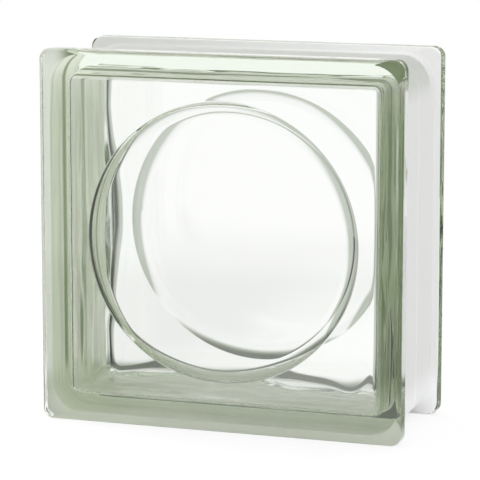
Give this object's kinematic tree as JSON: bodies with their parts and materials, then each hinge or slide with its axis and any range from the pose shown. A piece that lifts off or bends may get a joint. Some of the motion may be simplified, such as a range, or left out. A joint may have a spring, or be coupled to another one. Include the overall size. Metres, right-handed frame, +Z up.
{
  "type": "glass block",
  "caption": "Square hollow glass block with rimmed flat faces, a recessed white-coated edge for mortar and a round recess moulded inside each face.",
  "frame": {"origin": "middle of the underside, on the plane that the two lower rims stand on", "axes": "+Z up, -Y towards the front face, +X to the right as seen from the front; the block's depth is along Y"},
  "size_m": [0.19, 0.08, 0.19],
  "materials": {
    "glass": "clear pressed glass with a slight green tint, white-coated in the edge recess"
  },
  "bodies": {
    "root": {"glass_block": "glass"}
  },
  "joints": []
}
